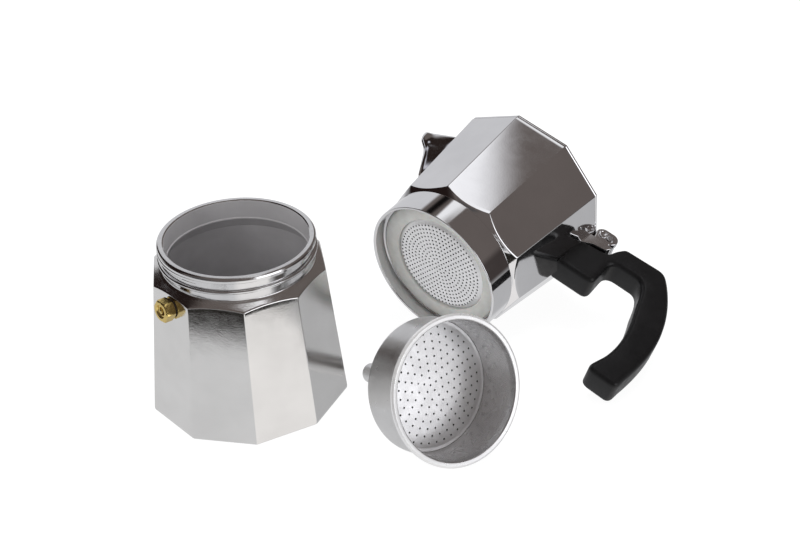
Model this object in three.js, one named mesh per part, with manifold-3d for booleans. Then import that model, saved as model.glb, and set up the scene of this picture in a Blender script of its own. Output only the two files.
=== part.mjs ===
// Moka pot for the hob, six small cups, taken apart into its three loose groups: the boiler
// stands upright, the funnel rests on its basket's edge and its stem's end, and the collector
// lies on its side.
// Millimetres, +Z up, origin at the centre of the boiler's base.
import * as THREE from 'three';
import { mergeVertices } from 'three/addons/utils/BufferGeometryUtils.js';
import { ConvexGeometry } from 'three/addons/geometries/ConvexGeometry.js';
import Module from 'manifold-3d';

const SIDES = 10;
const GAP = 0.3;
const ROUND = 48;
const THREAD_STEPS = 24;

// Boiler
const BASE_R = 54.7;
const SHOULDER_R = 45.5;
const SHOULDER_Z = 77;
const NECK_R = 39.3;
const NECK_TOP = 93.5;
const MOUTH_R = 36.7;
const THREAD_R = 40.7;
const THREAD_PITCH = 4;
const BOILER_TURN = -7.8;

// Safety valve, measured along its own axis from the facet it sits on
const VALVE_HEADING = -133.8;
const VALVE_Z = 71;
const VALVE_TILT = 6.5;
const HEX_AF = 10.5;
const HEX_FROM = 1.3;
const HEX_TO = 6.4;
const SHANK_R = 4.5;
const SHANK_END = -8;
const CHAMBER_R = 3.1;
const CHAMBER_TO = 3.6;
const STEM_R = 0.9;

// Funnel, measured down its own axis from the mouth
const FUNNEL_RIM_R = 37.6;
const BASKET_R = 34.8;
const BASKET_WALL = 0.9;
const BASKET_DEPTH = 30.2;
const FUNNEL_LENGTH = 85.5;
const TUBE_R = 5.4;
const TUBE_WALL = 0.9;
const FUNNEL_HEADING = -54.3;
const FUNNEL_LIFT = 26.9;
const FUNNEL_MOUTH = [111.2, -62.0, 43.35];

// Collector, measured up its own axis from the open end of the collar
const COLLAR_R = 42.8;
const COLLAR_END_R = 43.2;
const COLLAR_H = 17.9;
const FOOT_R = 46.8;
const FOOT_Z = 21.7;
const RIM_R = 55.3;
const RIM_Z = 90;
const BODY_WALL = 2.6;
const BORE_R = 41.05;
const SEAT_R = 40.2;
const SEAT_Z = 7.9;
const WEB_Z = 12.2;
const SPOUT_HEADING = 36;
const HANDLE_HEADING = 216;
const COLLECTOR_HEADING = 50.7;
const COLLECTOR_LIFT = 7.65;
const COLLECTOR_ROLL = 70.5;
const COLLECTOR_END = [100.4, 42.1, 42.85];

// Hinge and handle, measured outward from the collector's axis
const PIN_AT = [62.5, 91];
const PIN_R = 1.6;
const EAR_IN = 5.4;
const EAR_OUT = 9.4;
const HANDLE_THICK = 17;
const SCREW_Z = 68;

const MATERIALS = {
  casting: material(0xc9cacc, 0.16, 1.0),
  pressed: material(0xc2c3c4, 0.34, 1.0),
  brass: material(0xc69a3c, 0.24, 1.0),
  steel: material(0x9fa1a4, 0.28, 1.0),
  fibre: material(0x8c4a3a, 0.7, 0.0),
  silicone: material(0xb9b9b2, 0.62, 0.0),
  plastic: material(0x141416, 0.42, 0.0),
};

const wasm = await Module();
wasm.setup();

function material(color, roughness, metalness) {
  return new THREE.MeshStandardMaterial({ color, roughness, metalness });
}

function radians(degrees) {
  return (degrees * Math.PI) / 180;
}

// Boolean helpers ---------------------------------------------------------------------------

function solid(geometry) {
  const bare = geometry.clone();
  bare.deleteAttribute('normal');
  bare.deleteAttribute('uv');
  const merged = mergeVertices(bare, 1e-4);
  const index = merged.index.array;
  const kept = [];
  for (let i = 0; i < index.length; i += 3) {
    const [a, b, c] = [index[i], index[i + 1], index[i + 2]];
    if (a !== b && b !== c && c !== a) kept.push(a, b, c);
  }
  return new wasm.Manifold(new wasm.Mesh({
    numProp: 3,
    vertProperties: new Float32Array(merged.attributes.position.array),
    triVerts: new Uint32Array(kept),
  }));
}

function mesh(name, finish, body) {
  const data = body.getMesh();
  const geometry = new THREE.BufferGeometry();
  geometry.setAttribute('position', new THREE.BufferAttribute(new Float32Array(data.vertProperties), 3));
  geometry.setIndex(new THREE.BufferAttribute(new Uint32Array(data.triVerts), 1));
  geometry.computeVertexNormals();
  const part = new THREE.Mesh(geometry, MATERIALS[finish]);
  part.name = name;
  return part;
}

// Shape helpers -----------------------------------------------------------------------------

// Profile of [radius, height] points turned about Z, first corner on +X
function turned(profile, segments = ROUND) {
  const points = profile.map(([r, z]) => new THREE.Vector2(r, z));
  const geometry = new THREE.LatheGeometry(points, segments);
  geometry.rotateX(Math.PI / 2);
  geometry.rotateZ(Math.PI / 2);
  return solid(geometry);
}

function ring(inner, outer, from, to, segments = ROUND) {
  return turned([[inner, from], [outer, from], [outer, to], [inner, to], [inner, from]], segments);
}

function rod(radius, from, to, segments = 24) {
  return turned([[0, from], [radius, from], [radius, to], [0, to]], segments);
}

function block(x, y, z, sx, sy, sz) {
  const geometry = new THREE.BoxGeometry(sx, sy, sz);
  geometry.translate(x, y, z);
  return solid(geometry);
}

// Flat shape in the X-Z plane, given thickness along Y about Y = 0
function plate(shape, thickness, bevel = 0) {
  const geometry = new THREE.ExtrudeGeometry(shape, {
    depth: thickness - 2 * bevel,
    bevelEnabled: bevel > 0,
    bevelThickness: bevel,
    bevelSize: bevel,
    bevelOffset: -bevel,
    bevelSegments: 2,
    curveSegments: 10,
  });
  geometry.translate(0, 0, bevel - thickness / 2);
  geometry.rotateX(Math.PI / 2);
  return solid(geometry);
}

// Helical ridge for a coarse thread; depth > 0 stands out from the root, < 0 stands inward
function thread(root, depth, pitch, from, to) {
  const steps = Math.round(((to - from) / pitch) * THREAD_STEPS);
  const sink = Math.sign(depth) * 0.4;
  const positions = [];
  const faces = [];
  for (let i = 0; i <= steps; i += 1) {
    const angle = (i / THREAD_STEPS) * 2 * Math.PI;
    const z = from + ((to - from) * i) / steps;
    const section = [[root - sink, -1.5], [root + depth, -0.6], [root + depth, 0.6], [root - sink, 1.5]];
    for (const [r, dz] of section) {
      positions.push(r * Math.cos(angle), r * Math.sin(angle), z + dz);
    }
  }
  const quad = (a, b, c, d) => faces.push(a, b, c, a, c, d);
  for (let i = 0; i < steps; i += 1) {
    for (let k = 0; k < 4; k += 1) {
      const next = (k + 1) % 4;
      quad(4 * i + k, 4 * i + 4 + k, 4 * i + 4 + next, 4 * i + next);
    }
  }
  quad(0, 1, 2, 3);
  quad(4 * steps + 3, 4 * steps + 2, 4 * steps + 1, 4 * steps);
  if (depth < 0) faces.reverse();
  const geometry = new THREE.BufferGeometry();
  geometry.setAttribute('position', new THREE.Float32BufferAttribute(positions, 3));
  geometry.setIndex(faces);
  return solid(geometry);
}

// Boiler ------------------------------------------------------------------------------------

function radiusOnBoiler(z) {
  return BASE_R + ((SHOULDER_R - BASE_R) * z) / SHOULDER_Z;
}

function boilerOutside() {
  const sides = turned([
    [0, 0], [BASE_R - 1.6, 0], [BASE_R - 0.2, 1.6], [radiusOnBoiler(84), 84], [0, 84],
  ], SIDES).rotate([0, 0, BOILER_TURN]);
  const shoulder = turned([
    [0, 0], [BASE_R - 1.4, 0], [BASE_R + 1, 4], [BASE_R + 1, 72],
    [SHOULDER_R, SHOULDER_Z], [NECK_R + 1.3, SHOULDER_Z + 2.6], [NECK_R, SHOULDER_Z + 3.6],
    [0, SHOULDER_Z + 3.6],
  ]);
  const neck = turned([
    [0, SHOULDER_Z], [NECK_R, SHOULDER_Z], [NECK_R, NECK_TOP - 3], [THREAD_R - 0.5, NECK_TOP - 2.3],
    [THREAD_R - 0.3, NECK_TOP - 0.8], [THREAD_R - 1.2, NECK_TOP], [0, NECK_TOP],
  ]);
  const ridge = thread(NECK_R, THREAD_R - NECK_R, THREAD_PITCH, SHOULDER_Z + 6.2, NECK_TOP - 5);
  return sides.intersect(shoulder).add(neck).add(ridge);
}

function boilerCavity() {
  return turned([
    [0, 4], [40, 4], [47, 7], [48.5, 12], [41.5, 70], [40.6, 75], [38.2, 78.4], [37.6, 81],
    [MOUTH_R, 82], [MOUTH_R, NECK_TOP + 1], [0, NECK_TOP + 1],
  ]);
}

// Moves a piece built about +Z out to the valve's seat on the facet
function toValveSeat(body) {
  const facetR = radiusOnBoiler(VALVE_Z) * Math.cos(Math.PI / SIDES);
  return body.rotate([0, 90 - VALVE_TILT, 0]).translate([facetR, 0, VALVE_Z]).rotate([0, 0, VALVE_HEADING]);
}

function boilerCasting() {
  const pad = toValveSeat(rod(7, -6.5, -1, 30));
  const hole = toValveSeat(rod(SHANK_R + GAP, -12, 8));
  return boilerOutside().subtract(boilerCavity().subtract(pad)).subtract(hole);
}

function valveBody() {
  const hexR = HEX_AF / 2 / Math.cos(Math.PI / 6);
  const hex = turned([
    [0, HEX_FROM], [hexR, HEX_FROM], [hexR, HEX_TO - 0.8], [hexR - 0.9, HEX_TO], [0, HEX_TO],
  ], 6);
  const shank = rod(SHANK_R, SHANK_END, HEX_FROM + 1);
  const chamber = rod(CHAMBER_R, SHANK_END - 1, CHAMBER_TO);
  const eye = rod(STEM_R + 0.5, CHAMBER_TO - 1, HEX_TO + 1);
  const slot = block(0, 0, HEX_TO, 1.4, 2 * hexR, 3);
  return toValveSeat(hex.add(shank).subtract(chamber).subtract(eye).subtract(slot));
}

function valveWasher() {
  return toValveSeat(ring(SHANK_R + GAP, 5.6, GAP, HEX_FROM - GAP, 30));
}

function valveRetainer() {
  return toValveSeat(ring(1.3, CHAMBER_R - GAP, SHANK_END + 0.2, SHANK_END + 2.2, 24));
}

function valvePin() {
  const head = SHANK_END + 2.5;
  return toValveSeat(turned([
    [0, head], [2.3, head], [2.3, head + 1.2], [STEM_R, head + 1.2],
    [STEM_R, HEX_TO + 0.8], [STEM_R - 0.3, HEX_TO + 1.1], [0, HEX_TO + 1.1],
  ], 20));
}

function valveSpring() {
  const turns = 5;
  const from = SHANK_END + 4.6;
  const to = CHAMBER_TO - 0.7;
  const points = [];
  for (let i = 0; i <= turns * 12; i += 1) {
    const angle = (i / 12) * 2 * Math.PI;
    points.push(new THREE.Vector3(
      2 * Math.cos(angle), 2 * Math.sin(angle), from + ((to - from) * i) / (turns * 12),
    ));
  }
  const path = new THREE.CatmullRomCurve3(points);
  const wire = new THREE.Shape();
  wire.absarc(0, 0, 0.35, 0, 2 * Math.PI);
  const geometry = new THREE.ExtrudeGeometry(wire, {
    steps: turns * 11, extrudePath: path, bevelEnabled: false, curveSegments: 3,
  });
  return toValveSeat(solid(geometry));
}

// Funnel ------------------------------------------------------------------------------------

function funnelBasket() {
  const inner = BASKET_R - BASKET_WALL;
  const floor = -BASKET_DEPTH;
  return turned([
    [TUBE_R + GAP, floor], [BASKET_R - 4, floor], [BASKET_R - 2, floor + 0.54], [BASKET_R - 0.54, floor + 2],
    [BASKET_R, floor + 4],
    [BASKET_R, -2.2], [FUNNEL_RIM_R - 0.6, -1.8], [FUNNEL_RIM_R, -1.1], [FUNNEL_RIM_R - 0.4, -0.3],
    [FUNNEL_RIM_R - 1.2, 0], [inner + 0.8, -0.2], [inner, -1.4],
    [inner, floor + 4.4], [inner - 1.2, floor + 1.9], [BASKET_R - 4.4, floor + 0.9],
    [TUBE_R + GAP, floor + 0.9], [TUBE_R + GAP, floor],
  ]);
}

function funnelTube() {
  const top = -BASKET_DEPTH + 1.8;
  const bore = TUBE_R - TUBE_WALL;
  return turned([
    [bore, -FUNNEL_LENGTH], [TUBE_R - 0.2, -FUNNEL_LENGTH], [TUBE_R, -FUNNEL_LENGTH + 0.4],
    [TUBE_R, -BASKET_DEPTH - 1.4], [TUBE_R + 1.2, -BASKET_DEPTH - 1.2], [TUBE_R + 1.2, -BASKET_DEPTH - GAP],
    [TUBE_R, -BASKET_DEPTH - GAP], [TUBE_R, -BASKET_DEPTH + 1.2], [TUBE_R + 1.1, -BASKET_DEPTH + 1.2],
    [TUBE_R + 1.1, top], [bore, top], [bore, -FUNNEL_LENGTH],
  ], 30);
}

// Perforated plate, pressed in over the basket's floor; crowned towards the mouth
function funnelStrainer() {
  const edge = BASKET_R - BASKET_WALL - 3 * GAP;
  const base = -BASKET_DEPTH + 3.8;
  const crown = 1.3;
  return turned([
    [0, base + crown - 0.8], [edge * 0.6, base + crown * 0.65 - 0.8], [edge - 2, base - 0.8],
    [edge, base - 0.6],
    [edge, base + 0.1], [edge - 2, base], [edge * 0.6, base + crown * 0.65], [0, base + crown],
  ], 48);
}

// Collector ---------------------------------------------------------------------------------

function radiusOnCollector(z) {
  return FOOT_R + ((RIM_R - FOOT_R) * (z - FOOT_Z)) / (RIM_Z - FOOT_Z);
}

function collectorOutside() {
  const sides = turned([
    [0, 16], [radiusOnCollector(16), 16], [RIM_R, RIM_Z], [0, RIM_Z],
  ], SIDES);
  const flare = FOOT_R - COLLAR_END_R;
  const shoulder = turned([
    [0, 0], [COLLAR_R - 0.5, 0], [COLLAR_R, 0.5], [COLLAR_END_R, COLLAR_H],
    [COLLAR_END_R + 6 * flare, COLLAR_H + 6 * (FOOT_Z - COLLAR_H)], [COLLAR_END_R + 6 * flare, RIM_Z + 1],
    [0, RIM_Z + 1],
  ]);
  const collar = turned([
    [0, 0], [COLLAR_R - 0.5, 0], [COLLAR_R, 0.5], [COLLAR_END_R, COLLAR_H], [0, COLLAR_H],
  ]);
  return sides.intersect(shoulder).add(collar);
}

function vesselCavity() {
  const wall = BODY_WALL / Math.cos(Math.PI / SIDES);
  return turned([
    [0, 21], [9, 21], [30, 17.6], [38, 18.4], [radiusOnCollector(24) - wall, 24],
    [RIM_R - wall + 0.2, RIM_Z + 1], [0, RIM_Z + 1],
  ], SIDES);
}

function collarCavity() {
  return turned([
    [0, -1], [BORE_R + 0.5, -1], [BORE_R, 0.4], [BORE_R, SEAT_Z + 0.4], [SEAT_R, SEAT_Z + 0.4],
    [SEAT_R, WEB_Z], [31, WEB_Z], [10, 16.6], [0, 16.6],
  ]);
}

// Points of the pouring lip: two runs along the wall, and the beak they meet in
function lipHull(inset) {
  const at = (rho, side, z) => new THREE.Vector3(rho, side, z);
  const points = [];
  for (const s of [-1, 1]) {
    points.push(at(47.5, s * (15 - inset), RIM_Z + inset));
    points.push(at(52 - inset, s * (13.5 - inset), RIM_Z - 2 + 3 * inset));
    points.push(at(46, s * (13 - inset), RIM_Z - 22));
    points.push(at(74 - inset, s * (2.3 - inset * 0.7), RIM_Z - 2 + 3 * inset));
    points.push(at(72.6 - inset * 2.1, s * (1.3 - inset * 0.4), RIM_Z - 10));
    points.push(at(66 - inset * 1.8, s, RIM_Z - 14));
  }
  points.push(at(48 - inset, 0, 46 + 3 * inset), at(58 - inset * 1.5, 0, RIM_Z - 27 + inset));
  return solid(new ConvexGeometry(points)).rotate([0, 0, SPOUT_HEADING]);
}

// Cast lug at the rear corner: a foot on the body and two ears with the pin's eye through them
function hingeLug() {
  const [px, pz] = PIN_AT;
  const foot = new THREE.Shape();
  foot.moveTo(46, 74);
  foot.lineTo(56, 80);
  foot.lineTo(65.5, 81.6);
  foot.lineTo(66.8, 84);
  foot.lineTo(66.8, 86);
  foot.lineTo(46, 86);
  const ear = new THREE.Shape();
  ear.moveTo(54.2, 84);
  ear.lineTo(px, 84);
  ear.absarc(px, pz, 4.8, -Math.PI / 2 + 0.6, Math.PI / 2, false);
  ear.lineTo(57, pz + 4.8);
  ear.absarc(58.3, pz + 0.4, 4.2, Math.PI / 2, Math.PI, false);
  const middle = (EAR_IN + EAR_OUT) / 2;
  const near = plate(ear, EAR_OUT - EAR_IN, 0.6);
  return plate(foot, 2 * EAR_OUT, 0.8)
    .add(near.translate([0, middle, 0]))
    .add(near.translate([0, -middle, 0]));
}

// Boss that the handle's root is screwed to
function handleBoss() {
  return block(53, 0, SCREW_Z, 16, 8, 12);
}

function alongPlane(body) {
  return body.rotate([0, 0, HANDLE_HEADING]);
}

function radialRod(radius, from, to, z, segments = 24) {
  return rod(radius, from, to, segments).rotate([0, 90, 0]).translate([0, 0, z]);
}

function crossRod(radius, length, [x, z], segments = 24) {
  return rod(radius, -length / 2, length / 2, segments).rotate([90, 0, 0]).translate([x, 0, z]);
}

function collectorCasting() {
  const ridge = thread(BORE_R, -1.3, THREAD_PITCH, 2, 6.2);
  const skirt = collectorOutside().add(alongPlane(hingeLug())).add(alongPlane(handleBoss())).add(lipHull(0));
  const pinEye = alongPlane(crossRod(PIN_R + 0.06, 30, PIN_AT));
  const tapped = alongPlane(radialRod(2.3, 54.5, 63, SCREW_Z));
  const columnEye = rod(5, 10, 30, 30);
  return skirt
    .subtract(vesselCavity())
    .subtract(lipHull(1.6).intersect(rod(90, 40, 100)))
    .subtract(collarCavity())
    .add(ridge)
    .subtract(columnEye)
    .subtract(pinEye)
    .subtract(tapped);
}

// Riser tube pressed into the web; closed top with two side ports
function coffeeColumn() {
  const tube = turned([
    [3.4, 15.6], [4.7, 15.6], [4.7, 21.6], [7, 21.6], [6.6, 30], [5.6, 71], [4.2, 74.5], [0, 75.5],
    [0, 72.5], [3.2, 71.5], [3.8, 64], [3.4, 22], [3.4, 15.6],
  ], 30);
  const port = block(0, 0, 68.2, 14, 4.2, 5.6);
  return tube.subtract(port);
}

function gasket() {
  return turned([
    [29.9, 8.1], [30.4, 7.6], [SEAT_R - 0.8, 7.6], [SEAT_R - GAP, 8.1], [SEAT_R - GAP, WEB_Z - GAP],
    [32.9, WEB_Z - GAP], [32.9, 9.6], [29.9, 9.6], [29.9, 8.1],
  ]);
}

// Perforated plate: the rim sits behind the gasket's lip and the dished middle stands forward
function filterPlate() {
  return turned([
    [0, 7.4], [28.6, 7.7], [29.6, 9.9], [32.6, 9.9], [32.6, 10.7], [29.1, 10.7], [28, 8.5], [0, 8.2],
  ], 48);
}

function hingePin() {
  return alongPlane(crossRod(PIN_R, 2 * EAR_OUT + 1.4, PIN_AT));
}

// Handle: block root against the body, level arm over the fingers, and a grip that flares at its foot
function handleShape() {
  const shape = new THREE.Shape();
  shape.moveTo(50.6, 55.2);
  shape.lineTo(71.4, 55.4);
  shape.quadraticCurveTo(73, 55.6, 73, 57.4);
  shape.lineTo(72.2, 72);
  shape.quadraticCurveTo(72.2, 77.8, 78, 78);
  shape.lineTo(89.5, 78);
  shape.bezierCurveTo(96, 77.5, 98, 66, 100.4, 57.6);
  shape.bezierCurveTo(104.2, 47, 108.8, 32, 105.2, 16.6);
  shape.lineTo(101.2, 6.4);
  shape.quadraticCurveTo(100.4, 3.2, 103.4, 3);
  shape.lineTo(118.2, 3);
  shape.quadraticCurveTo(120.8, 3, 121.1, 6);
  shape.bezierCurveTo(123.4, 22, 124.4, 40, 119.8, 57);
  shape.bezierCurveTo(116.4, 70, 109.4, 82, 103.4, 89.4);
  shape.quadraticCurveTo(100.4, 93.6, 95.6, 93.6);
  shape.lineTo(73, 92.8);
  shape.lineTo(70.4, 88.6);
  shape.lineTo(67, 88);
  shape.lineTo(50.6, 84);
  return shape;
}

function handle() {
  const clearance = 2 * GAP;
  const pocket = block(53, 0, SCREW_Z, 16 + clearance, 8 + clearance, 12 + clearance);
  const wall = collectorOutside().rotate([0, 0, -HANDLE_HEADING]).scale([1.007, 1.007, 1]);
  const seat = new THREE.Shape();
  seat.moveTo(45, 72.8);
  seat.lineTo(56, 79.4);
  seat.lineTo(66, 81.1);
  seat.lineTo(67.4, 83.6);
  seat.lineTo(67.4, 96);
  seat.lineTo(45, 96);
  const lug = plate(seat, 2 * EAR_OUT + clearance);
  const shaft = radialRod(2.4, 58, 80, SCREW_Z);
  const counterbore = radialRod(4.4, 67, 80, SCREW_Z, 30);
  return alongPlane(
    plate(handleShape(), HANDLE_THICK, 1.2).subtract(wall).subtract(pocket).subtract(lug)
      .subtract(shaft).subtract(counterbore),
  );
}

function handleScrew() {
  const body = radialRod(2, 55, 68, SCREW_Z, 20).add(radialRod(3.6, 67.9, 70.4, SCREW_Z));
  const cross = block(70.4, 0, SCREW_Z, 2.4, 4.4, 0.9).add(block(70.4, 0, SCREW_Z, 2.4, 0.9, 4.4));
  return alongPlane(body.subtract(cross));
}

function handleWasher() {
  return alongPlane(ring(2.3, 4.1, 67.3, 67.7, 30).rotate([0, 90, 0]).translate([0, 0, SCREW_Z]));
}

// Lid ---------------------------------------------------------------------------------------

function lid() {
  const edge = RIM_R - 0.2;
  const from = RIM_Z + 0.4;
  const dome = turned([
    [0, from + 5.2], [11, from + 5.0], [edge - 10, from + 0.9], [edge - 6, from], [edge - 0.4, from],
    [edge, from + 0.5], [edge, from + 1.7], [edge - 0.6, from + 2.2], [edge - 8, from + 2.6],
    [13, from + 6.6], [0, from + 6.8],
  ], SIDES);
  const [px, pz] = PIN_AT;
  const tab = new THREE.Shape();
  tab.moveTo(47, from + 1);
  tab.lineTo(54, from + 0.1);
  tab.lineTo(58.4, pz - 2.2);
  tab.absarc(px, pz, 4.2, Math.PI + 0.5, Math.PI * 2.5, false);
  tab.lineTo(47, from + 3.6);
  const link = alongPlane(plate(tab, 2 * (EAR_IN - GAP), 0.5));
  const eye = alongPlane(crossRod(PIN_R + 0.06, 30, PIN_AT));
  return dome.add(link).subtract(eye).subtract(rod(2.1, RIM_Z, RIM_Z + 12, 20));
}

const KNOB_FOOT = RIM_Z + 7.8;

function knob() {
  const foot = KNOB_FOOT;
  const body = turned([
    [0, foot], [8.4, foot], [8.6, foot + 1], [6.2, foot + 3.5], [5.6, foot + 7], [8.2, foot + 12],
    [9.6, foot + 16], [9.2, foot + 19], [7, foot + 21], [0, foot + 21.6],
  ], 40);
  return body.subtract(rod(1.9, foot - 1, foot + 11, 20));
}

function knobWasher() {
  return ring(2.1, 5, RIM_Z + 4.0, RIM_Z + 4.7, 24);
}

function knobScrew() {
  const head = RIM_Z + 1.5;
  const body = rod(1.6, head + 1, KNOB_FOOT + 9.6, 16).add(rod(3.4, head, head + 2.2, 24));
  return body.subtract(block(0, 0, head, 4.4, 0.9, 2)).subtract(block(0, 0, head, 0.9, 4.4, 2));
}

// Assembly ----------------------------------------------------------------------------------

function boilerGroup() {
  const group = new THREE.Group();
  group.add(
    mesh('boiler_casting', 'casting', boilerCasting()),
    mesh('valve_body', 'brass', valveBody()),
    mesh('valve_washer', 'fibre', valveWasher()),
    mesh('valve_retainer', 'brass', valveRetainer()),
    mesh('valve_pin', 'brass', valvePin()),
    mesh('valve_spring', 'steel', valveSpring()),
  );
  return group;
}

function funnelGroup() {
  const group = new THREE.Group();
  group.add(
    mesh('funnel_basket', 'pressed', funnelBasket()),
    mesh('funnel_tube', 'pressed', funnelTube()),
    mesh('funnel_strainer', 'pressed', funnelStrainer()),
  );
  group.rotation.set(0, radians(90 - FUNNEL_LIFT), radians(FUNNEL_HEADING), 'ZYX');
  group.position.set(...FUNNEL_MOUTH);
  return group;
}

function collectorGroup() {
  const turnedPieces = new THREE.Group();
  turnedPieces.add(
    mesh('collector_casting', 'casting', collectorCasting()),
    mesh('coffee_column', 'pressed', coffeeColumn()),
    mesh('gasket', 'silicone', gasket()),
    mesh('filter_plate', 'pressed', filterPlate()),
    mesh('hinge_pin', 'steel', hingePin()),
    mesh('handle', 'plastic', handle()),
    mesh('handle_screw', 'steel', handleScrew()),
    mesh('handle_washer', 'steel', handleWasher()),
    mesh('lid', 'casting', lid()),
    mesh('lid_knob', 'plastic', knob()),
    mesh('knob_washer', 'steel', knobWasher()),
    mesh('knob_screw', 'steel', knobScrew()),
  );
  turnedPieces.rotation.z = radians(COLLECTOR_ROLL);
  const group = new THREE.Group();
  group.add(turnedPieces);
  group.rotation.set(0, radians(90 - COLLECTOR_LIFT), radians(COLLECTOR_HEADING), 'ZYX');
  group.position.set(...COLLECTOR_END);
  return group;
}

const mokaPot = new THREE.Group();
mokaPot.name = 'moka_pot';
mokaPot.add(boilerGroup(), funnelGroup(), collectorGroup());

export default mokaPot;
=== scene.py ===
"""Looks for a moka pot taken apart for cleaning: boiler, funnel and collector.

Lengths are millimetres in each group's own frame, and become metres in the shared frame.
"""

import math

import bmesh
import bpy
from mathutils import Matrix, Vector
from mathutils.geometry import delaunay_2d_cdt


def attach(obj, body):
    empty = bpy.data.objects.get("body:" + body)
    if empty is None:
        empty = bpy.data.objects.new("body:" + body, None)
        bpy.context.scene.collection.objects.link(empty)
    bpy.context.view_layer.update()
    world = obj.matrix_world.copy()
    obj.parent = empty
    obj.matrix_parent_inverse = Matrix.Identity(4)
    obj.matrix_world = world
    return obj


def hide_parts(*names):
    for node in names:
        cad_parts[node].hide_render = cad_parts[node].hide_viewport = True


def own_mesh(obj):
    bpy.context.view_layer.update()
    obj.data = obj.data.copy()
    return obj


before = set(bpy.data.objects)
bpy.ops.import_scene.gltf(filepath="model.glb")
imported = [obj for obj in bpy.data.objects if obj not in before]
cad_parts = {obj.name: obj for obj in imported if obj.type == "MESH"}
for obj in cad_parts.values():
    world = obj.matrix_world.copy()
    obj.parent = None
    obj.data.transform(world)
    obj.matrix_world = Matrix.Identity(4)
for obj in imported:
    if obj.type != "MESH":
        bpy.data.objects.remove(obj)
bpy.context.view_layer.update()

MM = 0.001

# Rings of points: every ten-sided ring has the same number of columns
SIDES = 10
CORNER_STEPS = 5
SIDE_STEPS = 7
COLUMNS = SIDES * (CORNER_STEPS + SIDE_STEPS)
HALF_SIDE = math.pi / SIDES
CORNER_R = 1.2
EDGE_ROUND = 0.32

# Boiler
BASE_R = 54.7
FOOT_ROUND_Z = 2.4
SHOULDER_R = 45.5
SHOULDER_Z = 77.0
CONE_TOP_R = 40.6
CONE_RISE = 2.6
CAST_TO_Z = 80.6
NECK_R = 39.3
NECK_TOP = 93.5
MOUTH_R = 36.7
CHAMBER_FLOOR = 4.0
THREAD_R = 40.7
THREAD_PITCH = 4.0
THREAD_DEPTH = 1.0
NECK_THREAD = (82.6, 89.4)
COLLAR_THREAD = (1.8, 7.4)
BOILER_TURN = -7.8

# Safety valve
VALVE_HEADING = -133.8
VALVE_Z = 71.0
VALVE_TILT = 6.5
HEX_AF = 10.5
HEX_POINTS = 48
HEX_FROM = 1.3
HEX_TO = 6.4
SHANK_R = 4.5
SHANK_END = -8.0
STEM_R = 0.95
STEM_HEAD_R = 1.35
SPRING_ROOM_R = 3.1
SPRING_ROOM_TO = 3.6
SPRING_R = 2.0
SPRING_TURNS = 5
WIRE_R = 0.35

# Funnel
FUNNEL_RIM_R = 37.6
BASKET_R = 34.8
BASKET_WALL = 0.9
BASKET_DEPTH = 30.2
FUNNEL_LENGTH = 85.5
TUBE_R = 5.4
TUBE_WALL = 0.9
STRAINER_LIFT = 3.8
STRAINER_CROWN = 1.3
STRAINER_HOLE_R = 0.56

# Collector
COLLAR_R = 42.8
COLLAR_LIP_R = 41.7
COLLAR_END_R = 43.2
COLLAR_H = 17.9
FOOT_R = 46.8
FOOT_Z = 21.7
RIM_R = 55.3
RIM_Z = 90.0
BODY_WALL = 2.6
BORE_R = 41.05
SEAT_R = 40.2
SEAT_Z = 8.3
WEB_Z = 12.2
WEB_UNDER_Z = 16.6
COLLECTOR_FLOOR = 21.4
PLATE_R = 32.6
PLATE_HOLE_R = 0.6
PLATE_FLAT_R = 28.4
PLATE_RIM_Z = 9.9
PORT_Z = 68.2
SPOUT_WALL = 1.7
SPOUT_HEADING = 36.0
HANDLE_HEADING = 216.0

# Hinge and handle
PIN_X = 62.5
PIN_Z = 91.0
PIN_R = 1.6
EAR_IN = 5.4
EAR_OUT = 9.4
EAR_R = 4.8
BOSS_X = 57.6
BOSS_Z = PIN_Z + 0.1
HANDLE_THICK = 17.0
HANDLE_ROUND = 2.9
SCREW_Z = 68.0
KNOB_FOOT = RIM_Z + 7.8


def turn(degrees, axis):
    return Matrix.Rotation(math.radians(degrees), 4, axis)


# Each group's own frame: Z along its axis, from the end that sits lowest in use
BOILER = Matrix.Identity(4)
VALVE_OUT = (BASE_R + (SHOULDER_R - BASE_R) * VALVE_Z / SHOULDER_Z) * math.cos(HALF_SIDE)
VALVE = (
    turn(VALVE_HEADING, "Z")
    @ Matrix.Translation((VALVE_OUT, 0, VALVE_Z))
    @ turn(90 - VALVE_TILT, "Y")
)
FUNNEL = (
    Matrix.Translation((111.2, -62.0, 43.35)) @ turn(-54.3, "Z") @ turn(90 - 26.9, "Y")
)
COLLECTOR = (
    Matrix.Translation((100.4, 42.1, 42.85))
    @ turn(50.7, "Z")
    @ turn(90 - 7.65, "Y")
    @ turn(70.5, "Z")
)
HANDLE_PLANE = COLLECTOR @ turn(HANDLE_HEADING, "Z")
SPOUT_PLANE = COLLECTOR @ turn(SPOUT_HEADING, "Z")


# ---- Camera ----
CAMERA_AT = (0.0828, -0.4563, 0.3730)
CAMERA_DOWN = 33.17
CAMERA_LENS = 47.52


def make_camera():
    data = bpy.data.cameras.new("camera")
    data.sensor_width = 36.0
    data.lens = CAMERA_LENS
    data.clip_start = 0.01
    camera = bpy.data.objects.new("camera", data)
    camera.location = CAMERA_AT
    camera.rotation_euler = (math.radians(90 - CAMERA_DOWN), 0, 0)
    bpy.context.scene.collection.objects.link(camera)
    bpy.context.scene.camera = camera


# ---- Node helpers ----
def link(tree, source, target):
    tree.links.new(source, target)


def coordinates(tree):
    """Object coordinates in metres."""
    return tree.nodes.new("ShaderNodeTexCoord").outputs["Object"]


def noise(tree, vector, scale, detail=3.0, roughness=0.55):
    node = tree.nodes.new("ShaderNodeTexNoise")
    node.inputs["Scale"].default_value = scale
    node.inputs["Detail"].default_value = detail
    node.inputs["Roughness"].default_value = roughness
    link(tree, vector, node.inputs["Vector"])
    return node.outputs["Fac"]


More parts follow.
